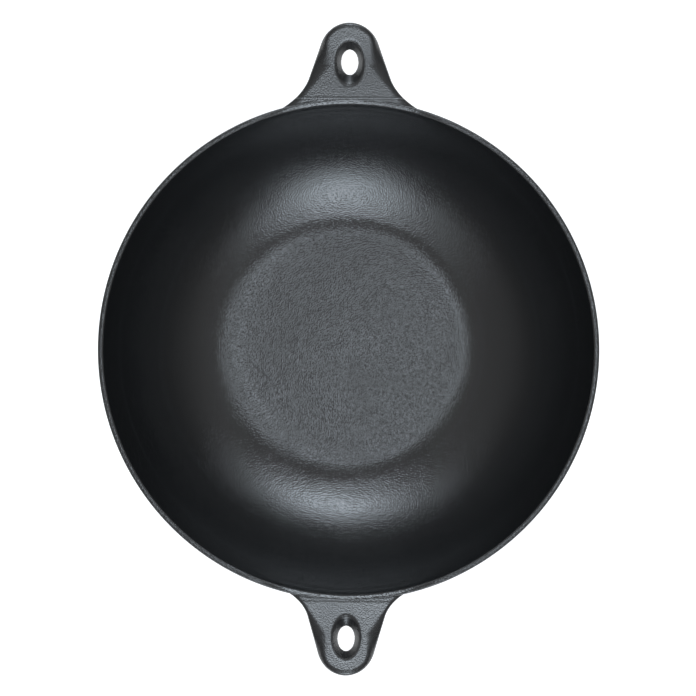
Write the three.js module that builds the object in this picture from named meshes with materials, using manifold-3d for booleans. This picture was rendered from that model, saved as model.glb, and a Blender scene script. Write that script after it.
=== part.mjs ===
// Cast iron wok: a round bowl with a flat cooking floor and two upswept lug handles with hanging holes.
// Millimetres, +Z up. The origin is on the bowl's axis, in the plane that the foot ring stands on.
import * as THREE from "three";
import { mergeVertices } from "three/addons/utils/BufferGeometryUtils.js";
import Module from "manifold-3d";

const { degToRad } = THREE.MathUtils;

// Bowl
const rimDiameter = 360;
const rimThickness = 4.3;
const rimEdgeRound = 1.4;
const rimBandHeight = 24; // top of the wall, where the lugs are cast on
const insideDepth = 85; // from the cooking floor to the top of the rim
const lowerWallHeight = 26; // of the wall's lower course, above the cooking floor
const floorDiameter = 180; // the flat part of the floor, inside
const floorThickness = 5.5;
const floorBendRadius = 28; // inside bend that turns the floor up into the wall
const floorBendAngle = degToRad(20); // slope at which the wall's own curve takes over from the bend

// Foot ring under the floor
const footInset = 5; // from the edge of the flat floor in to the ring
const footWidth = 8;
const footHeight = 2.5;
const footEdgeRound = 1;

// Lug handles
const lugReach = 49.3; // seen from above, from the rim to the tip
const lugTilt = degToRad(27);
const lugDrop = 2.2; // the lug's upper face starts this far below the top of the rim
const lugThickness = 10;
const lugTipRadius = 20;
const farFlankAngle = degToRad(19.6); // each flank of the far lug leans out this far towards the bowl
const farFlareRadius = 31; // sweeps its flanks into the rim, seen from above
const nearFlankAngle = degToRad(15.8); // the near lug is slimmer
const nearFlareRadius = 22; // and turns into the rim more sharply
const lugRunoutLength = 17; // thin end of the flare, which sinks into the wall
const lugRunoutAngle = degToRad(20);
const lugEdgeWidth = 7.5; // width of the rounded edge, which is an ellipse in section
const lugEdgeHeight = 4.2; // height of the same rounding, on either face
const lugRootFillet = 10; // between the lug's underside and the wall

// Hanging hole, an oval that narrows from a wide mouth to a waist and opens a little below it
const holeFromTip = 28.8; // along the lug's face, from the tip to the middle of the hole
const holeLength = 20;
const holeWidth = 13.3;
const holeMouthLength = 35;
const holeLipWidth = 1.6; // bevelled lip round the mouth
const holeLipDepth = 0.7;
const holeWaistDepth = 6.6;
const holeBackLength = 24;

// The lugs follow the wall with this gap
const castSeam = 0.3;

// Facets
const roundSteps = 80;
const wallSteps = 6;
const bendSteps = 3;
const edgeSteps = 3;
const lugCurveSteps = 7;
const holeSteps = 36;

const rimRadius = rimDiameter / 2;
const floorRadius = floorDiameter / 2;
const floorUnderside = footHeight;
const floorTop = floorUnderside + floorThickness;
const rimTop = floorTop + insideDepth;
const rimBandBottom = rimTop - rimBandHeight;
const lowerWallTop = floorTop + lowerWallHeight;

const wasm = await Module();
wasm.setup();

function castIron() {
  return new THREE.MeshStandardMaterial({ color: 0x2b2d2f, roughness: 0.5, metalness: 0.35 });
}

// Points along an arc of a profile, both ends included
function arcPoints({ centre, radius, from, to }, steps) {
  const points = [];
  for (let i = 0; i <= steps; i += 1) {
    const angle = from + ((to - from) * i) / steps;
    points.push(new THREE.Vector2(Math.cos(angle), Math.sin(angle)).multiplyScalar(radius).add(centre));
  }
  return points;
}

// Angle of the line from one point to another
function directionTo(from, to) {
  return Math.atan2(to.y - from.y, to.x - from.x);
}

// The arc that leaves a point at a given slope, curves upwards and ends at a second point
function arcFromSlope(start, slope, end) {
  const normal = new THREE.Vector2(-Math.sin(slope), Math.cos(slope));
  const chord = end.clone().sub(start);
  const radius = chord.lengthSq() / (2 * chord.dot(normal));
  const centre = start.clone().addScaledVector(normal, radius);
  return { centre, radius, from: slope - Math.PI / 2, to: directionTo(centre, end) };
}

// One face of the wall: the bend out of the floor, then a single curve up to the rim
function wallFace(floorLevel, rimPoint) {
  const bend = {
    centre: new THREE.Vector2(floorRadius, floorTop + floorBendRadius),
    radius: floorTop + floorBendRadius - floorLevel,
    from: -Math.PI / 2,
    to: floorBendAngle - Math.PI / 2,
  };
  const bendEnd = arcPoints(bend, 1).at(-1);
  return { bend, curve: arcFromSlope(bendEnd, floorBendAngle, rimPoint) };
}

const rimEdgeHeight = rimTop - rimEdgeRound;
const insideFace = wallFace(floorTop, new THREE.Vector2(rimRadius - rimThickness, rimEdgeHeight));
const outsideFace = wallFace(floorUnderside, new THREE.Vector2(rimRadius, rimEdgeHeight));

function angleAtHeight(curve, height) {
  return Math.asin((height - curve.centre.y) / curve.radius);
}

function pointAtHeight(curve, height) {
  const angle = angleAtHeight(curve, height);
  return new THREE.Vector2(curve.centre.x + curve.radius * Math.cos(angle), height);
}

// The wall's curve between two angles of its arc
function curvePart(curve, from, to, steps) {
  return arcPoints({ ...curve, from, to }, steps);
}

function lowerFacePoints({ curve }) {
  return curvePart(curve, curve.from, angleAtHeight(curve, lowerWallTop), wallSteps);
}

function upperFacePoints({ curve }) {
  return curvePart(curve, angleAtHeight(curve, lowerWallTop), angleAtHeight(curve, rimBandBottom), wallSteps);
}

// The rounding between one face of the wall and the flat top of the rim
function rimEdge(curve, side) {
  const distance = curve.radius - side * rimEdgeRound;
  const rise = rimEdgeHeight - curve.centre.y;
  const centre = new THREE.Vector2(curve.centre.x + Math.sqrt(distance ** 2 - rise ** 2), rimEdgeHeight);
  const meets = directionTo(curve.centre, centre);
  const from = side > 0 ? meets : meets + Math.PI;
  return { meets, points: arcPoints({ centre, radius: rimEdgeRound, from, to: Math.PI / 2 }, edgeSteps) };
}

function rimFacePoints({ curve }, side) {
  const { meets, points } = rimEdge(curve, side);
  return [...curvePart(curve, angleAtHeight(curve, rimBandBottom), meets, edgeSteps), ...points.slice(1)];
}

// Turns a profile of radius and height about the bowl's axis
function turned(profile) {
  return new THREE.LatheGeometry(profile, roundSteps).rotateX(Math.PI / 2);
}

function closedLoop(points) {
  return [...points, points[0]];
}

// A ring of the bowl between its outer and its inner face, both given from the floor upwards
function bowlRing(outerPoints, innerPoints) {
  return turned(closedLoop([...outerPoints, ...innerPoints.reverse()]));
}

function cookingFloor() {
  return turned([
    new THREE.Vector2(0, floorUnderside),
    new THREE.Vector2(floorRadius, floorUnderside),
    new THREE.Vector2(floorRadius, floorTop),
    new THREE.Vector2(0, floorTop),
  ]);
}

function floorBend() {
  return bowlRing(arcPoints(outsideFace.bend, bendSteps), arcPoints(insideFace.bend, bendSteps));
}

function lowerWall() {
  return bowlRing(lowerFacePoints(outsideFace), lowerFacePoints(insideFace));
}

function upperWall() {
  return bowlRing(upperFacePoints(outsideFace), upperFacePoints(insideFace));
}

function rimBand() {
  return bowlRing(rimFacePoints(outsideFace, 1), rimFacePoints(insideFace, -1));
}

function footRing() {
  const outer = floorRadius - footInset;
  const inner = outer - footWidth;
  const edge = { radius: footEdgeRound };
  const outerEdge = { ...edge, centre: new THREE.Vector2(outer - footEdgeRound, footEdgeRound) };
  const innerEdge = { ...edge, centre: new THREE.Vector2(inner + footEdgeRound, footEdgeRound) };
  return turned(closedLoop([
    ...arcPoints({ ...innerEdge, from: -Math.PI, to: -Math.PI / 2 }, edgeSteps),
    ...arcPoints({ ...outerEdge, from: -Math.PI / 2, to: 0 }, edgeSteps),
    new THREE.Vector2(outer, footHeight),
    new THREE.Vector2(inner, footHeight),
  ]));
}

function toSolid(geometry) {
  geometry.deleteAttribute("normal");
  geometry.deleteAttribute("uv");
  const merged = mergeVertices(geometry);
  const mesh = new wasm.Mesh({
    numProp: 3,
    vertProperties: merged.attributes.position.array,
    triVerts: Uint32Array.from(merged.index.array),
  });
  mesh.merge();
  return new wasm.Manifold(mesh);
}

function toGeometry(solid) {
  const { vertProperties, triVerts } = solid.getMesh();
  const geometry = new THREE.BufferGeometry();
  geometry.setAttribute("position", new THREE.BufferAttribute(vertProperties, 3));
  geometry.setIndex(new THREE.BufferAttribute(triVerts, 1));
  geometry.computeVertexNormals();
  return geometry;
}

// The lug's frame: x across the lug, y along it from the rim, z out of its upper face
const lugFrame = new THREE.Matrix4()
  .makeRotationX(lugTilt)
  .setPosition(0, rimRadius, rimTop - lugDrop);
const lugLength = lugReach / Math.cos(lugTilt);
const lugMiddleHeight = rimTop - lugDrop - lugThickness / 2;

// Outline of the lug: round tip, straight flanks, flares that run out along the wall at the lug's middle.
// It goes on inside the bowl far enough for its rounded edge to be cut away there.
function lugOutline(flankAngle, flareRadius) {
  const wallRadius = pointAtHeight(outsideFace.curve, lugMiddleHeight).x;
  const tipHeight = lugLength - lugTipRadius;
  const flankOffset = tipHeight * Math.sin(flankAngle) + lugTipRadius;
  const flareReach = wallRadius + flareRadius;
  const towardsFlank = flankOffset + flareRadius + rimRadius * Math.sin(flankAngle);
  const flareTurn = flankAngle + Math.acos(towardsFlank / flareReach);
  const flareX = flareReach * Math.cos(flareTurn);
  const flareY = flareReach * Math.sin(flareTurn) - rimRadius;
  const runoutTurn = flareTurn - Math.PI / 2 - lugRunoutAngle;
  const rootX = wallRadius * Math.cos(flareTurn) + lugRunoutLength * Math.cos(runoutTurn);
  const rootY = wallRadius * Math.sin(flareTurn) - rimRadius + lugRunoutLength * Math.sin(runoutTurn);
  const innerY = rootY - 2 * lugEdgeWidth;

  const outline = new THREE.Shape();
  outline.moveTo(-rootX, innerY);
  outline.lineTo(rootX, innerY);
  outline.lineTo(rootX, rootY);
  outline.absarc(flareX, flareY, flareRadius, flareTurn + Math.PI, flankAngle + Math.PI, true);
  outline.absarc(0, tipHeight, lugTipRadius, flankAngle, Math.PI - flankAngle, false);
  outline.absarc(-flareX, flareY, flareRadius, -flankAngle, -flareTurn, true);
  outline.lineTo(-rootX, rootY);
  outline.closePath();
  return outline;
}

function lugBody(outline) {
  const depth = lugThickness - 2 * lugEdgeHeight;
  const body = new THREE.ExtrudeGeometry(outline, {
    depth,
    curveSegments: lugCurveSteps,
    bevelThickness: lugEdgeHeight,
    bevelSize: lugEdgeWidth,
    bevelOffset: -lugEdgeWidth,
    bevelSegments: edgeSteps + 1,
  });
  body.translate(0, 0, -depth - lugEdgeHeight);
  return toSolid(body.applyMatrix4(lugFrame));
}

// Fillet under the lug: a ring round the bowl, tangent to the wall and to the lug's underside
function rootFilletRing() {
  const cornerHeight = rimTop - lugDrop - lugThickness / Math.cos(lugTilt);
  const wall = outsideFace.curve;
  const wallAngle = angleAtHeight(wall, cornerHeight);
  const corner = pointAtHeight(wall, cornerHeight);
  const down = new THREE.Vector2(Math.sin(wallAngle), -Math.cos(wallAngle));
  const out = new THREE.Vector2(Math.cos(lugTilt), Math.sin(lugTilt));
  const halfAngle = Math.acos(down.dot(out)) / 2;
  const run = lugRootFillet / Math.tan(halfAngle);
  const middle = down.clone().add(out).setLength(lugRootFillet / Math.sin(halfAngle));
  const arc = {
    centre: corner.clone().add(middle),
    radius: lugRootFillet,
    from: wallAngle + Math.PI,
    to: lugTilt + Math.PI / 2,
  };
  const into = new THREE.Vector2(-Math.sin(lugTilt), Math.cos(lugTilt)).multiplyScalar(lugThickness / 2);
  const inward = new THREE.Vector2(-run, 0);
  const underside = corner.clone().addScaledVector(out, run);
  return toSolid(turned(closedLoop([
    ...arcPoints(arc, edgeSteps + 1),
    underside.clone().add(into),
    corner.clone().add(into).add(inward),
    corner.clone().addScaledVector(down, run).add(inward),
  ])));
}

// The fillet under one lug only: what lies below the lug, inside its rounded outline
function rootFillet(outline) {
  const depth = lugThickness + 2 * lugRootFillet;
  const prism = new THREE.ExtrudeGeometry(outline, {
    depth,
    curveSegments: lugCurveSteps,
    bevelEnabled: false,
  });
  prism.translate(0, 0, -depth - lugThickness / 2);
  return rootFilletRing().intersect(toSolid(prism.applyMatrix4(lugFrame)));
}

function hangingHole() {
  const beyond = lugEdgeHeight;
  const mouth = holeMouthLength / 2;
  const waist = holeLength / 2;
  const back = holeBackLength / 2;
  const backSlope = (back - waist) / (lugThickness - holeWaistDepth);
  const profile = [
    new THREE.Vector2(0, -lugThickness - beyond),
    new THREE.Vector2(back + beyond * backSlope, -lugThickness - beyond),
    new THREE.Vector2(waist, -holeWaistDepth),
    new THREE.Vector2(mouth - holeLipWidth, -holeLipDepth),
    new THREE.Vector2(mouth + holeLipWidth, holeLipDepth),
    new THREE.Vector2(mouth + holeLipWidth, beyond),
    new THREE.Vector2(0, beyond),
  ];
  const hole = new THREE.LatheGeometry(profile, holeSteps).rotateX(Math.PI / 2);
  hole.scale(holeWidth / holeLength, 1, 1);
  hole.translate(0, lugLength - holeFromTip, 0);
  return toSolid(hole.applyMatrix4(lugFrame));
}

// Everything inside the bowl's outer face, grown by the seam, to cut the lug's root to the wall
function bowlEnvelope() {
  const grown = ({ centre, radius, from, to }) => ({ centre, radius: radius + castSeam, from, to });
  const side = arcPoints(grown(outsideFace.curve), 2 * wallSteps + edgeSteps);
  const above = rimTop + lugThickness;
  return toSolid(turned([
    new THREE.Vector2(0, side[0].y),
    ...side,
    new THREE.Vector2(rimRadius + castSeam, above),
    new THREE.Vector2(0, above),
  ]));
}

function lug(flankAngle, flareRadius) {
  const outline = lugOutline(flankAngle, flareRadius);
  const body = lugBody(outline).add(rootFillet(outline));
  return toGeometry(body.subtract(hangingHole()).subtract(bowlEnvelope()));
}

function node(name, geometry) {
  const mesh = new THREE.Mesh(geometry, castIron());
  mesh.name = name;
  return mesh;
}

const wok = new THREE.Group();
wok.add(node("cooking_floor", cookingFloor()));
wok.add(node("floor_bend", floorBend()));
wok.add(node("lower_wall", lowerWall()));
wok.add(node("upper_wall", upperWall()));
wok.add(node("rim_band", rimBand()));
wok.add(node("foot_ring", footRing()));

wok.add(node("far_lug", lug(farFlankAngle, farFlareRadius)));
const nearSide = new THREE.Group();
nearSide.rotation.z = Math.PI;
nearSide.add(node("near_lug", lug(nearFlankAngle, nearFlareRadius)));
wok.add(nearSide);

export default wok;
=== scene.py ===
import math
import bpy
import numpy as np
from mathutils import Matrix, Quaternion, Vector


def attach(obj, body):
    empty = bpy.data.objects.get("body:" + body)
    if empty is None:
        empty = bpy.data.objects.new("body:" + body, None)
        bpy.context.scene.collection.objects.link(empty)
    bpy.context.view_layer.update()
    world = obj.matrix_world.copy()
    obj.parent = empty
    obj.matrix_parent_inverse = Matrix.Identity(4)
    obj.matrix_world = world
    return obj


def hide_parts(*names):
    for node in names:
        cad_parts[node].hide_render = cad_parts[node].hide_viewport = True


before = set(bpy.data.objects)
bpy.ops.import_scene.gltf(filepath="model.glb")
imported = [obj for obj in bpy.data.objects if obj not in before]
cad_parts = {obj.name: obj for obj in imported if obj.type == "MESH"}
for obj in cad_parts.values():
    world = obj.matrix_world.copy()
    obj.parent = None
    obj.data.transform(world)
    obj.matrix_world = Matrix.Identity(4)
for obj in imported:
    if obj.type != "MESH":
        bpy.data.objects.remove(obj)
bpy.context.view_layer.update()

mm = 0.001
print("frame loaded:", ", ".join(sorted(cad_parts)))


def linear(hexColour):
    parts = [int(hexColour[i:i + 2], 16) / 255 for i in (1, 3, 5)]
    return [c / 12.92 if c <= 0.04045 else ((c + 0.055) / 1.055) ** 2.4 for c in parts] + [1.0]


# settings name a property of the node or one of its inputs, links are (input, from node, its output)
def addNode(tree, kind, settings=None, links=()):
    node = tree.nodes.new(kind)
    for key, value in (settings or {}).items():
        if isinstance(key, str) and hasattr(node, key):
            setattr(node, key, value)
        else:
            node.inputs[key].default_value = value
    for target, source, output in links:
        tree.links.new(source.outputs[output], node.inputs[target])
    return node


# Cast iron with a baked-on oil seasoning: black with a cool cast and satin. Inside the bowl the sand of the
# mould leaves pebbles that break every highlight into fine speckles. The lugs are ground and rumbled after
# casting, so they keep only shallow pebbles and their highlights run smoothly.
castIron = {
    "deep": "#0f1113",      # in the hollows of the grain
    "raised": "#17191b",    # on top of the pebbles
    "grainRange": (0.3, 0.75),  # heights of the grain at which these two stand
    "worn": "#2c2f32",      # rubbed edges, where the iron greys through
    "edgeRange": (0.53, 0.62),  # how sharp an edge is where the rubbing starts and where it is strongest
    "edgeWear": 0.6,        # and how much of the worn colour shows there
    "ior": 1.9,             # between baked oil, 1.5, and the black iron oxide under it, 2.4
    "pebbleSize": 1.0,      # mm, from one pebble to the next
    "gritSize": 0.7,        # sand grit is nearer 0.3 mm, drawn coarser so that it shows
    "gritGloss": 0.06,      # how much the grit dulls the gloss
    "patchSize": 45.0,      # mm, thicker and thinner areas of the oil film
    "patchRange": (0.3, 0.7),   # values of that pattern where the film is glossiest and where it is dullest
}
finishes = {
    "seasonedSandCastIron": {"roughness": (0.17, 0.23), "pebbleHeight": 0.19, "gritHeight": 0.01},
    "seasonedRumbledCastIron": {"roughness": (0.22, 0.28), "pebbleHeight": 0.11, "gritHeight": 0.01},
}


def makeCastIron(name, finish):
    material = bpy.data.materials.new(name)
    material.use_nodes = True
    tree = material.node_tree
    tree.nodes.clear()
    place = addNode(tree, "ShaderNodeTexCoord")
    pebble = addNode(tree, "ShaderNodeTexNoise",
                     {"Scale": 1 / (castIron["pebbleSize"] * mm), "Detail": 0.0},
                     [("Vector", place, "Object")])
    grit = addNode(tree, "ShaderNodeTexNoise",
                   {"Scale": 1 / (castIron["gritSize"] * mm), "Detail": 2.0, "Roughness": 0.6},
                   [("Vector", place, "Object")])
    patch = addNode(tree, "ShaderNodeTexNoise",
                    {"Scale": 1 / (castIron["patchSize"] * mm), "Detail": 4.0, "Roughness": 0.55},
                    [("Vector", place, "Object")])
    shape = addNode(tree, "ShaderNodeNewGeometry")

    # colour: the grain first, then the rubbed edges
    tone = addNode(tree, "ShaderNodeValToRGB", links=[("Fac", pebble, "Fac")])
    for stop, position, shade in zip(tone.color_ramp.elements, castIron["grainRange"], ("deep", "raised")):
        stop.position = position
        stop.color = linear(castIron[shade])
    begin, full = castIron["edgeRange"]
    edge = addNode(tree, "ShaderNodeMapRange",
                   {"From Min": begin, "From Max": full, "To Min": 0.0, "To Max": castIron["edgeWear"]},
                   [("Value", shape, "Pointiness")])
    broken = addNode(tree, "ShaderNodeMath", {"operation": "MULTIPLY"},
                     [(0, edge, "Result"), (1, grit, "Fac")])
    colour = addNode(tree, "ShaderNodeMix", {"data_type": "RGBA", 7: linear(castIron["worn"])},
                     [(0, broken, "Value"), (6, tone, "Color")])

    # gloss: patches of the oil film, broken up by the grit
    glossy, dull = castIron["patchRange"]
    low, high = finish["roughness"]
    film = addNode(tree, "ShaderNodeMapRange",
                   {"From Min": glossy, "From Max": dull, "To Min": low, "To Max": high},
                   [("Value", patch, "Fac")])
    gloss = addNode(tree, "ShaderNodeMath", {"operation": "MULTIPLY_ADD", 1: castIron["gritGloss"]},
                    [(0, grit, "Fac"), (2, film, "Result")])

    # relief: pebbles, then the grit on top of them
    pebbleBump = addNode(tree, "ShaderNodeBump",
                         {"Strength": 1.0, "Distance": finish["pebbleHeight"] * mm},
                         [("Height", pebble, "Fac")])
    gritBump = addNode(tree, "ShaderNodeBump",
                       {"Strength": 1.0, "Distance": finish["gritHeight"] * mm},
                       [("Height", grit, "Fac"), ("Normal", pebbleBump, "Normal")])
    iron = addNode(tree, "ShaderNodeBsdfPrincipled", {"IOR": castIron["ior"], "Metallic": 0.0},
                   [("Base Color", colour, 2), ("Roughness", gloss, "Value"),
                    ("Normal", gritBump, "Normal")])
    addNode(tree, "ShaderNodeOutputMaterial", links=[("Surface", iron, "BSDF")])
    return material


bowlIron, lugIron = (makeCastIron(name, finish) for name, finish in finishes.items())
print("materials made:", bowlIron.name, lugIron.name)


def addPiece(name, mesh, material, *nodes):
    piece = bpy.data.objects.new(name, mesh)
    bpy.context.scene.collection.objects.link(piece)
    mesh.materials.append(material)
    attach(piece, "root")
    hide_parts(*nodes)


# The bowl, in millimetres: the courses of the solids, with a wider bend and the unevenness of the casting
bowl = {
    "rimRadius": 179.93,
    "rimThickness": 4.25,
    "rimRound": 1.4,
    "rimTop": 93.0,
    "rimBandBottom": 69.0,
    "lowerWallTop": 34.0,
    "floorRadius": 90.0,
    "floorTop": 8.0,
    "floorUnderside": 2.5,
    "bendRadius": 40.0,         # inside, where the floor turns up into the wall
    "bendAngle": math.radians(23),
    "footOuter": 85.0,
    "footInner": 77.0,
    "footRound": 1.0,
    "footFillet": 1.4,
    "lugDip": 1.2,              # the rim lies this much lower at the lugs
    "lugBevel": 0.49,           # and slopes this steeply to the inside there
    "lugDipTurns": (13, 24),    # degrees from the middle of the lug, between which the dip runs out
    "lugDipHeights": (78, 91),  # and heights between which it sets in
    "wander": 0.12,             # how far the cast skin strays from the true curve
    "wanderStart": (2.6, 7),    # heights between which that sets in
    "wanderEnd": (70, 88),      # and between which it dies away
    "bendFill": 0.2,            # extra iron in the bend between floor and wall
    "bendFillLean": (0.9, 0.4), # and how much more of it there is on the left and on the near side
    "bendFillPlace": (7, 15),   # how far outside the floor's edge it lies, and how far it spreads
    "floorShrink": 4.0,         # the edge of the floor lies this far inside the true curve
    "floorShift": 3.8,          # and the floor this far to the left
    "floorEdgeWander": 1.2,     # and its edge strays this far from a circle
    "floorEdgeWaves": ((2, 1.1, 0.5), (3, 0.3, 0.3), (5, 2.0, 0.2)),  # how many go round, phase and share
    "floorEdgePlace": (4, 13, 26),  # how far outside the edge this is strongest, and its fade in and out
    "roundSteps": 240,
    "floorPoints": (24, 12),    # from the middle outwards, on the floor and under it
    "bendSteps": (7, 5),        # inside and outside
    "courseSteps": (12, 14, 9), # of the lower wall, the upper wall and the rim band
    "rimSteps": 6,              # of each rounding
    "footSteps": 4,
}


def arc(centre, radius, start, end, steps):
    angles = np.linspace(start, end, steps + 1)
    return np.array(centre) + radius * np.stack([np.cos(angles), np.sin(angles)], axis=1)


# one face of the wall: its bend out of the floor and the curve from there to the rim
def wallFace(level, rimPoint):
    bendCentre = np.array([bowl["floorRadius"], bowl["floorTop"] + bowl["bendRadius"]])
    bendRadius = bendCentre[1] - level
    slope = bowl["bendAngle"]
    start = bendCentre + bendRadius * np.array([math.sin(slope), -math.cos(slope)])
    normal = np.array([-math.sin(slope), math.cos(slope)])
    chord = np.array(rimPoint) - start
    radius = chord @ chord / (2 * chord @ normal)
    return {"bendCentre": bendCentre, "bendRadius": bendRadius,
            "centre": start + radius * normal, "radius": radius}


rimEdgeHeight = bowl["rimTop"] - bowl["rimRound"]
insideFace = wallFace(bowl["floorTop"], (bowl["rimRadius"] - bowl["rimThickness"], rimEdgeHeight))
outsideFace = wallFace(bowl["floorUnderside"], (bowl["rimRadius"], rimEdgeHeight))


def angleAtHeight(face, height):
    return math.asin((height - face["centre"][1]) / face["radius"])


# rounding between one face of the wall and the top of the rim
def rimRounding(face, side):
    reach = face["radius"] - side * bowl["rimRound"]
    rise = rimEdgeHeight - face["centre"][1]
    centre = np.array([face["centre"][0] + math.sqrt(reach ** 2 - rise ** 2), rimEdgeHeight])
    meets = math.atan2(rise, centre[0] - face["centre"][0])
    start = meets if side > 0 else meets + math.pi
    return meets, arc(centre, bowl["rimRound"], start, math.pi / 2, bowl["rimSteps"])


# the bowl's skin as one line from the middle of the floor, over the rim, to the middle of the underside
def bowlSkin():
    rows = []
    marks = {}

    def add(points, mark):
        fresh = [tuple(p) for p in points]
        rows.extend(fresh[1:] if rows else fresh)
        marks[mark] = len(rows) - 1

    slope = bowl["bendAngle"] - math.pi / 2
    down = -math.pi / 2

    # lower wall, upper wall and rim band
    def courses(face, meets):
        heights = (bowl["lowerWallTop"], bowl["rimBandBottom"])
        stops = [slope] + [angleAtHeight(face, h) for h in heights] + [meets]
        return [arc(face["centre"], face["radius"], a, b, n)
                for a, b, n in zip(stops, stops[1:], bowl["courseSteps"])]

    meetsInside, edgeInside = rimRounding(insideFace, -1)
    meetsOutside, edgeOutside = rimRounding(outsideFace, 1)
    above, below = bowl["floorPoints"]
    stepsInside, stepsOutside = bowl["bendSteps"]
    add([(r, bowl["floorTop"]) for r in np.linspace(0, bowl["floorRadius"], above)], "floorEdgeInside")
    add(arc(insideFace["bendCentre"], insideFace["bendRadius"], down, slope, stepsInside), "bendEndInside")
    lower, upper, band = courses(insideFace, meetsInside)
    add(lower, "lowerTopInside")
    add(upper, "bandBottomInside")
    add(band, "rimInside")
    add(edgeInside, "rimFlatInside")
    add(np.linspace(edgeInside[-1], edgeOutside[-1], 3), "rimFlatOutside")
    add(edgeOutside[::-1], "rimOutside")
    lower, upper, band = courses(outsideFace, meetsOutside)
    add(band[::-1], "bandBottomOutside")
    add(upper[::-1], "lowerTopOutside")
    add(lower[::-1], "bendEndOutside")
    bend = arc(outsideFace["bendCentre"], outsideFace["bendRadius"], slope, down, stepsOutside)
    add(bend, "floorEdgeOutside")

    under, fillet, edge = bowl["floorUnderside"], bowl["footFillet"], bowl["footRound"]
    outer, inner, steps = bowl["footOuter"], bowl["footInner"], bowl["footSteps"]
    add([(bowl["floorRadius"], under), (outer + fillet, under)], "footTopOutside")
    foot = np.concatenate([
        arc((outer + fillet, under - fillet), fillet, math.pi / 2, math.pi, steps),
        arc((outer - edge, edge), edge, 0, down, steps),
        arc((inner + edge, edge), edge, down, -math.pi, steps),
        arc((inner - fillet, under - fillet), fillet, 0, math.pi / 2, steps)])
    add(foot, "footTopInside")
    add([(r, under) for r in np.linspace(inner - fillet, 0, below)], "middleUnder")
    return np.array(rows), marks


# slow waves of a few centimetres, the same at every run
def slowWaves(points):
    # radians per millimetre along x, y and z, and the phase
    waves = ((0.083, 0.021, 0.05, 0.4), (-0.037, 0.094, 0.03, 1.9), (0.058, -0.071, -0.06, 3.1),
             (0.131, 0.048, 0.02, 5.2), (-0.062, -0.122, 0.07, 2.6))
    total = np.zeros(points.shape[:-1])
    for a, b, c, phase in waves:
        total += np.sin(points @ np.array([a, b, c]) + phase)
    return total / len(waves)


def smoothStep(value, low, high):
    t = np.clip((value - low) / (high - low), 0, 1)
    return t * t * (3 - 2 * t)


def spinSkin(rows, marks):
    turns = np.arange(bowl["roundSteps"]) * 2 * math.pi / bowl["roundSteps"]
    radius = np.repeat(rows[:, :1], len(turns), axis=1)
    inside = np.arange(len(rows))[:, None] <= marks["rimInside"]

    # the edge of the floor, off its circle
    edgeWave = sum(share * np.sin(count * turns + phase) for count, phase, share in bowl["floorEdgeWaves"])
    middle, inwards, outwards = bowl["floorEdgePlace"]
    fromEdge = radius - bowl["floorRadius"] - middle
    nearEdge = np.exp(-(fromEdge / np.where(fromEdge > 0, outwards, inwards)) ** 2) * inside
    edgeShift = (bowl["floorEdgeWander"] * edgeWave - bowl["floorShrink"]
                 - bowl["floorShift"] * np.cos(turns))
    radius = radius + edgeShift * nearEdge
    grid = np.stack([radius * np.cos(turns), radius * np.sin(turns),
                     np.repeat(rows[:, 1:], len(turns), axis=1)], axis=2)
    height = grid[..., 2]

    # the iron in the bend
    middle, spread = bowl["bendFillPlace"]
    inBend = np.exp(-((radius - bowl["floorRadius"] - middle) / spread) ** 2) * inside
    left, nearer = bowl["bendFillLean"]
    height += (bowl["bendFill"] - left * np.cos(turns) - nearer * np.sin(turns)) * inBend

    # the rim at the lugs
    offLug = np.abs(np.degrees(turns) % 180 - 90)
    atLug = 1 - smoothStep(offLug, *bowl["lugDipTurns"])
    dip = bowl["lugDip"] + bowl["lugBevel"] * (bowl["rimRadius"] - radius)
    height -= dip * atLug * smoothStep(height, *bowl["lugDipHeights"])

    # and the slow waves of the cast skin
    keep = smoothStep(height, *bowl["wanderStart"]) * (1 - smoothStep(height, *bowl["wanderEnd"]))
    return grid + gridNormals(grid) * (bowl["wander"] * keep * slowWaves(grid))[..., None]


def gridNormals(grid):
    along = np.gradient(grid, axis=0)
    around = np.roll(grid, -1, axis=1) - np.roll(grid, 1, axis=1)
    around[0] = around[1]
    around[-1] = around[-2]
    normals = np.cross(along, around)
    normals[0] = (0, 0, 1)
    normals[-1] = (0, 0, -1)
    return normals / np.linalg.norm(normals, axis=2, keepdims=True)


# A closed ring of the bowl: stretches of the skin, joined by flat faces inside the iron
def ringMesh(name, grid, normals, stretches):
    steps = grid.shape[1]
    points, faces, faceNormals, index = [], [], [], {}

    def pointAt(row, step):
        pole = row in (0, len(grid) - 1)
        key = (row, 0 if pole else step)
        if key not in index:
            index[key] = len(points)
            points.append(grid[key])
        return index[key]

    def addStrip(row, nextRow, onSkin):
        for step in range(steps):
            nextStep = (step + 1) % steps
            corners = [(row, step), (nextRow, step), (nextRow, nextStep), (row, nextStep)]
            vertices = [pointAt(*corner) for corner in corners]
            kept = [i for i in range(4) if vertices[i] not in vertices[:i]]
            faces.append([vertices[i] for i in kept])
            if onSkin:
                faceNormals.extend(normals[corners[i]] for i in kept)
            else:
                a, b, c = (grid[corners[i]] for i in (0, 1, 2))
                flat = np.cross(b - a, c - b)
                faceNormals.extend([flat / np.linalg.norm(flat)] * len(kept))

    for number, (first, last) in enumerate(stretches):
        for row in range(first, last):
            addStrip(row, row + 1, True)
        following = stretches[(number + 1) % len(stretches)][0]
        if last != len(grid) - 1:
            addStrip(last, following, False)
    mesh = bpy.data.meshes.new(name)
    mesh.from_pydata([Vector(p) * mm for p in points], [], faces)
    mesh.polygons.foreach_set("use_smooth", [True] * len(faces))
    mesh.normals_split_custom_set([Vector(n) for n in faceNormals])
    return mesh


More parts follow.
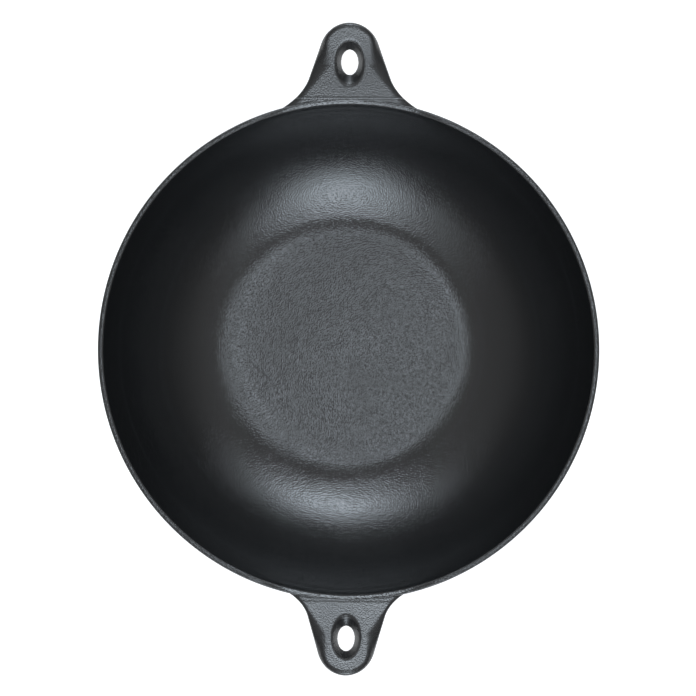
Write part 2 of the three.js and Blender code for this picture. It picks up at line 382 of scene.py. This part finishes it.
def buildBowl():
    rows, marks = bowlSkin()
    grid = spinSkin(rows, marks)
    normals = gridNormals(grid)
    marks["middle"] = 0
    # each stretch runs from one mark on the skin to another
    rings = {
        "cooking_floor": [("middle", "floorEdgeInside"), ("floorEdgeOutside", "footTopOutside"),
                          ("footTopInside", "middleUnder")],
        "floor_bend": [("floorEdgeInside", "bendEndInside"), ("bendEndOutside", "floorEdgeOutside")],
        "lower_wall": [("bendEndInside", "lowerTopInside"), ("lowerTopOutside", "bendEndOutside")],
        "upper_wall": [("lowerTopInside", "bandBottomInside"), ("bandBottomOutside", "lowerTopOutside")],
        "rim_band": [("bandBottomInside", "bandBottomOutside")],
        "foot_ring": [("footTopOutside", "footTopInside")],
    }
    for node, between in rings.items():
        stretches = [(marks[a], marks[b]) for a, b in between]
        addPiece("cast_" + node, ringMesh("cast_" + node, grid, normals, stretches), bowlIron, node)
        print("ring built:", node)


buildBowl()

# The lugs, in millimetres. Each is a tongue with a round tip that flares into the rim.
lug = {
    "thickness": 10.0,
    "crownSlopes": (0.6, 0.65, 1.4),  # where the rounding ends, at the root, beside the hole and at the tip
    "crownEnds": 8,         # how far from the root and from the tip these lie
    "edgeRound": 0.8,       # where the upper face meets the side
    "underRound": 1.2,
    "lipRound": 1.0,        # round both ends of the hanging hole
    "holeSlant": 0.75,      # shortens the distance to the side of the hole, which slants
    "topFillet": 0.3,       # between the upper face and the rim
    "rootFillet": 9.0,      # between the underside and the wall
    "filletDepths": (2, 8), # depths between which the one grows into the other
    "filletReach": 0.75,    # share of the flare along which it dies away
    "filletTrim": 0.6,      # it may swell this far over its own radius
    "stepPlace": (-0.3, 1.1),   # from the rim's outer edge, where the step down to the upper face lies
    "flareSink": 0.7,       # the flares run out this far under the rim's outer face
    "flareThin": 8.6,       # and lose this much of the thickness on the way
    "flareEnd": 1.02,       # share of the flare's radius at which it is cut off
    "sink": 0.06,           # the fillets run out this far under the skin of the wall
    "buried": 1.6,          # the root goes this far into it
    "underRim": 2.4,        # and stays this far under the top of the rim
    "cell": 0.8,            # of the grid on which the skin is found
    "room": (90, 138, 46, 120, 6),  # its half width, near end, bottom and top, and the space past the tip
}
# depth below the upper face, half length, half width and shift towards the tip of the hanging hole
holeSections = np.array([(-4, 20.2, 12.2, 2.2), (0, 16.0, 10.0, 1.4), (6.6, 9.1, 6.0, 0.0),
                         (10, 10.6, 6.9, 0.0), (14, 12.6, 8.1, 0.0)]).T
# angles in degrees; tip and flare are radii, hole is from its middle to the tip, drop is from the rim's top
# to the start of the upper face, step is the height of the rim's outer edge above it, lift is how far the
# tip bends up, and crown is the width of the rounding at the root, beside the hole and at the tip
lugShapes = {
    "far_lug": {"side": 1, "reach": 49.9, "tilt": 22.6, "tip": 21.9, "flank": 20.4, "flare": 17.0,
                "hole": 29.0, "drop": 2.2, "step": 0.9, "lift": 0.7, "crown": (5.0, 12.0, 3.6)},
    "near_lug": {"side": -1, "reach": 48.3, "tilt": 25.1, "tip": 21.0, "flank": 17.3, "flare": 13.5,
                 "hole": 27.5, "drop": 1.6, "step": 0.1, "lift": 0.3, "crown": (3.0, 10.0, 4.2)},
}


# both work on distances to a surface, negative inside
def roundUnion(a, b, radius):
    corner = np.hypot(np.maximum(radius - a, 0), np.maximum(radius - b, 0))
    return np.maximum(radius, np.minimum(a, b)) - corner


def roundCut(a, b, radius):
    return -roundUnion(-a, b, radius)


def lugField(shape, x, y, z):
    tilt, flank = math.radians(shape["tilt"]), math.radians(shape["flank"])
    cosTilt, sinTilt = math.cos(tilt), math.sin(tilt)
    half = lug["thickness"] / 2
    length = shape["reach"] / cosTilt
    holeMiddle = length - shape["hole"]
    rise = z - (bowl["rimTop"] - shape["drop"])
    out = y - bowl["rimRadius"]
    along = out * cosTilt + rise * sinTilt
    depth = out * sinTilt - rise * cosTilt + shape["step"] * (1 - smoothStep(out, *lug["stepPlace"]))
    pastHole = np.maximum(along - length + shape["hole"], 0) / shape["hole"]
    depth = depth + shape["lift"] * pastHole ** 2

    # seen from above: the tongue, swept into the bowl by its flares
    tipY = out - half * sinTilt - (shape["reach"] - shape["tip"])
    side = np.abs(x)
    cosFlank, sinFlank = math.cos(flank), math.sin(flank)
    pastTip = tipY * cosFlank - side * sinFlank > 0
    tongue = np.where(pastTip, np.hypot(x, tipY), side * cosFlank + tipY * sinFlank) - shape["tip"]
    around = np.hypot(x, y)
    disc = around - bowl["rimRadius"] + lug["flareSink"]
    outline = roundUnion(tongue, disc, shape["flare"])

    # the upper face rounds down to its edge, and the underside rises along the flares
    places = (lug["crownEnds"], holeMiddle, length - lug["crownEnds"])
    crownWidth = np.interp(along, places, shape["crown"])
    crownSlope = np.interp(along, places, lug["crownSlopes"])
    rounded = np.maximum(crownWidth + outline, 0)
    lower = crownSlope * rounded ** 2 / (2 * crownWidth)
    top = (lower - depth) / np.sqrt(1 + (crownSlope * rounded / crownWidth) ** 2)
    body = roundCut(top, -outline, lug["edgeRound"])
    underside = lug["thickness"] - lug["flareThin"] * smoothStep(tongue, 0, shape["flare"])
    body = roundCut(body, underside - depth, lug["underRound"])

    # the hanging hole
    halfLength, halfWidth, shift = (np.interp(depth, holeSections[0], row) for row in holeSections[1:])
    holeY = along - holeMiddle - shift
    hole = lug["holeSlant"] * halfWidth * (np.hypot(x / halfWidth, holeY / halfLength) - 1)
    body = roundCut(body, hole, lug["lipRound"])

    # and the fillets to the wall
    centre, radius = outsideFace["centre"], outsideFace["radius"]
    wall = np.hypot(around - centre[0], z - centre[1]) - radius
    iron = np.maximum(wall + lug["sink"], z - bowl["rimTop"] + lug["underRim"])
    below = smoothStep(depth, *lug["filletDepths"])
    near = 1 - smoothStep(tongue, 0, lug["filletReach"] * shape["flare"])
    fillet = lug["topFillet"] + (lug["rootFillet"] - lug["topFillet"]) * below * near
    joined = roundUnion(body, iron, fillet)
    joined = np.maximum(joined, body - fillet - lug["filletTrim"])
    joined = np.maximum(joined, tongue - lug["flareEnd"] * shape["flare"])
    return np.maximum(joined, -wall - lug["buried"])


# Quads round the zero level of a field: one point in each crossed cell, then moved onto the surface
def skinField(field, low, high, cell):
    axes = [np.arange(a, b + cell, cell) for a, b in zip(low, high)]
    value = field(*np.meshgrid(*axes, indexing="ij"))
    cells = tuple(n - 1 for n in value.shape)
    total = np.zeros((math.prod(cells), 3))
    count = np.zeros(math.prod(cells))
    quads = []
    for axis in range(3):
        start = np.moveaxis(np.moveaxis(value, axis, 0)[:-1], 0, axis)
        end = np.moveaxis(np.moveaxis(value, axis, 0)[1:], 0, axis)
        where = np.argwhere((start < 0) != (end < 0))
        a, b = start[tuple(where.T)], end[tuple(where.T)]
        crossing = where.astype(float)
        crossing[:, axis] += a / (a - b)
        u, v = (axis + 1) % 3, (axis + 2) % 3
        corners = []
        for du, dv in ((0, 0), (-1, 0), (-1, -1), (0, -1)):
            corner = where.copy()
            corner[:, u] += du
            corner[:, v] += dv
            flat = np.ravel_multi_index(tuple(corner.T), cells)
            np.add.at(total, flat, crossing)
            np.add.at(count, flat, 1)
            corners.append(flat)
        quad = np.stack(corners, axis=1)
        quads.append(np.where((a < 0)[:, None], quad, quad[:, ::-1]))
    used = np.flatnonzero(count)
    number = np.full(len(count), -1)
    number[used] = np.arange(len(used))
    points = np.array(low) + cell * total[used] / count[used][:, None]
    faces = number[np.concatenate(quads)]
    return settle(field, points, faces, cell), faces


# evens the points out between their neighbours, and moves them onto the surface again after each round
def settle(field, points, quads, cell):
    step = 0.05         # mm to each side, for the slope of the field
    leastSlope = 0.05   # squared, so that no point runs away where the field is nearly flat
    longestMove = 0.4 * cell
    links = np.concatenate([quads[:, [i, (i + 1) % 4]] for i in range(4)])
    for evenOut in (0.0, 0.5, 0.5, 0.5, 0.0):
        if evenOut:
            total, count = np.zeros_like(points), np.zeros(len(points))
            for a, b in ((0, 1), (1, 0)):
                np.add.at(total, links[:, a], points[links[:, b]])
                np.add.at(count, links[:, a], 1)
            points = points + evenOut * (total / count[:, None] - points)
        for _ in range(3):
            value = field(*points.T)
            slope = np.stack([(field(*(points + d).T) - field(*(points - d).T)) / (2 * step)
                              for d in np.eye(3) * step], axis=1)
            move = -value[:, None] * slope / np.maximum((slope ** 2).sum(axis=1), leastSlope)[:, None]
            size = np.linalg.norm(move, axis=1, keepdims=True)
            points = points + move * np.minimum(1, longestMove / np.maximum(size, 1e-9))
    return points


def buildLug(node, shape):
    width, nearest, lowest, highest, past = lug["room"]
    furthest = bowl["rimRadius"] + shape["reach"] + past
    points, quads = skinField(lambda x, y, z: lugField(shape, x, y, z),
                              (-width, nearest, lowest), (width, furthest, highest), lug["cell"])
    points[:, :2] *= shape["side"]
    mesh = bpy.data.meshes.new("cast_" + node)
    mesh.from_pydata([Vector(p) * mm for p in points], [], quads.tolist())
    mesh.polygons.foreach_set("use_smooth", [True] * len(quads))
    addPiece("cast_" + node, mesh, lugIron, node)
    print("lug built:", node, len(quads), "faces")


for node, shape in lugShapes.items():
    buildLug(node, shape)

# The studio: a pale table in a dim room with a white sweep. A soft box stands behind each lug with a weaker
# panel near it, two weak ones stand beside the near one, and one hangs overhead.
studio = {
    "table": "#f4f5f5",
    "tableHalf": 6.0,       # m
    "tableGlow": 0.75,      # what the camera and mirror rays see of the table besides its own shading
    "light": "#eaf5ff",
    "boxDistance": 5.0,     # m, of every soft box from the bowl
}
# elevation in degrees and brightness of the room, from the sweep at the horizon up to the ceiling
roomShades = ((7, 1.0), (11, 0.10), (24, 0.13), (38, 0.26), (60, 0.34), (90, 0.28))
# heading and elevation in degrees, width and height in metres, brightness of the cloth
softBoxes = {
    "farBox": {"heading": 87, "elevation": 42.5, "size": (2.3, 1.3), "brightness": 5.5},
    "farPanel": {"heading": 87, "elevation": 38, "size": (7.0, 1.9), "brightness": 0.9},
    "nearBox": {"heading": 271.5, "elevation": 42.8, "size": (2.2, 1.46), "brightness": 4.4},
    "nearLeftBox": {"heading": 241, "elevation": 43, "size": (1.9, 1.4), "brightness": 1.0},
    "nearRightBox": {"heading": 300, "elevation": 43, "size": (1.9, 1.4), "brightness": 0.8},
    "nearPanel": {"heading": 272, "elevation": 28, "size": (3.0, 1.6), "brightness": 1.9},
    "overheadBox": {"heading": 314, "elevation": 86.5, "size": (1.4, 1.4), "brightness": 3.15},
}


def layTable():
    mesh = bpy.data.meshes.new("table")
    half = studio["tableHalf"]
    mesh.from_pydata([(-half, -half, 0), (half, -half, 0), (half, half, 0), (-half, half, 0)],
                     [], [(0, 1, 2, 3)])
    table = bpy.data.objects.new("table", mesh)
    bpy.context.scene.collection.objects.link(table)
    material = bpy.data.materials.new("paleTable")
    material.use_nodes = True
    tree = material.node_tree
    tree.nodes.clear()
    path = addNode(tree, "ShaderNodeLightPath")
    seen = addNode(tree, "ShaderNodeMath", {"operation": "MAXIMUM"},
                   [(0, path, "Is Camera Ray"), (1, path, "Is Glossy Ray")])
    seen = addNode(tree, "ShaderNodeMath", {"operation": "MAXIMUM"},
                   [(0, seen, "Value"), (1, path, "Is Transmission Ray")])
    strength = addNode(tree, "ShaderNodeMath", {"operation": "MULTIPLY", 1: studio["tableGlow"]},
                       [(0, seen, "Value")])
    cloth = addNode(tree, "ShaderNodeBsdfDiffuse", {"Color": linear(studio["table"])})
    glow = addNode(tree, "ShaderNodeEmission", {"Color": (1, 1, 1, 1)}, [("Strength", strength, "Value")])
    both = addNode(tree, "ShaderNodeAddShader", links=[(0, cloth, "BSDF"), (1, glow, "Emission")])
    addNode(tree, "ShaderNodeOutputMaterial", links=[("Surface", both, "Shader")])
    mesh.materials.append(material)


def shadeRoom():
    world = bpy.data.worlds.new("studioRoom")
    bpy.context.scene.world = world
    world.use_nodes = True
    tree = world.node_tree
    tree.nodes.clear()
    direction = addNode(tree, "ShaderNodeTexCoord")
    split = addNode(tree, "ShaderNodeSeparateXYZ", links=[("Vector", direction, "Generated")])
    room = addNode(tree, "ShaderNodeValToRGB", links=[("Fac", split, "Z")])
    stops = room.color_ramp.elements
    while len(stops) < len(roomShades):
        stops.new(0.5)
    for stop, (elevation, shade) in zip(stops, roomShades):
        stop.position = math.sin(math.radians(elevation))
        stop.color = (shade, shade, shade, 1)
    glow = addNode(tree, "ShaderNodeBackground", links=[("Color", room, "Color")])
    addNode(tree, "ShaderNodeOutputWorld", links=[("Surface", glow, "Background")])


def hangSoftBox(name, box):
    light = bpy.data.lights.new(name, "AREA")
    light.shape = "RECTANGLE"
    light.size, light.size_y = box["size"]
    light.energy = box["brightness"] * math.pi * light.size * light.size_y
    light.color = linear(studio["light"])[:3]
    lamp = bpy.data.objects.new(name, light)
    heading, elevation = math.radians(box["heading"]), math.radians(box["elevation"])
    away = Vector((math.cos(heading) * math.cos(elevation), math.sin(heading) * math.cos(elevation),
                   math.sin(elevation)))
    lamp.location = away * studio["boxDistance"]
    lamp.rotation_mode = "QUATERNION"
    lamp.rotation_quaternion = away.to_track_quat("Z", "Y")
    lamp.visible_camera = False
    bpy.context.scene.collection.objects.link(lamp)


layTable()
shadeRoom()
for name, box in softBoxes.items():
    hangSoftBox(name, box)
print("studio built:", len(softBoxes), "soft boxes")

# The camera looks down from 1.4 m over the rim, a little to the right of the bowl's axis
view = {
    "stand": (0.024, 0.018, 1.493),     # m
    "target": (0.0, 0.00157, 0.093),
    "roll": math.radians(0.37),
    "frameWidth": 0.49847,      # of the picture at the rim
    "sensor": 36.0,
}


def addCamera():
    camera = bpy.data.cameras.new("photoCamera")
    camera.sensor_width = view["sensor"]
    towards = Vector(view["target"]) - Vector(view["stand"])
    camera.lens = view["sensor"] * towards.length / view["frameWidth"]
    stand = bpy.data.objects.new("photoCamera", camera)
    stand.location = view["stand"]
    stand.rotation_mode = "QUATERNION"
    turn = Vector((0, 0, -1)).rotation_difference(towards)  # from straight down
    stand.rotation_quaternion = turn @ Quaternion((0, 0, 1), view["roll"])
    bpy.context.scene.collection.objects.link(stand)
    bpy.context.scene.camera = stand


addCamera()
bpy.context.scene.view_settings.view_transform = "Standard"
print("camera placed")
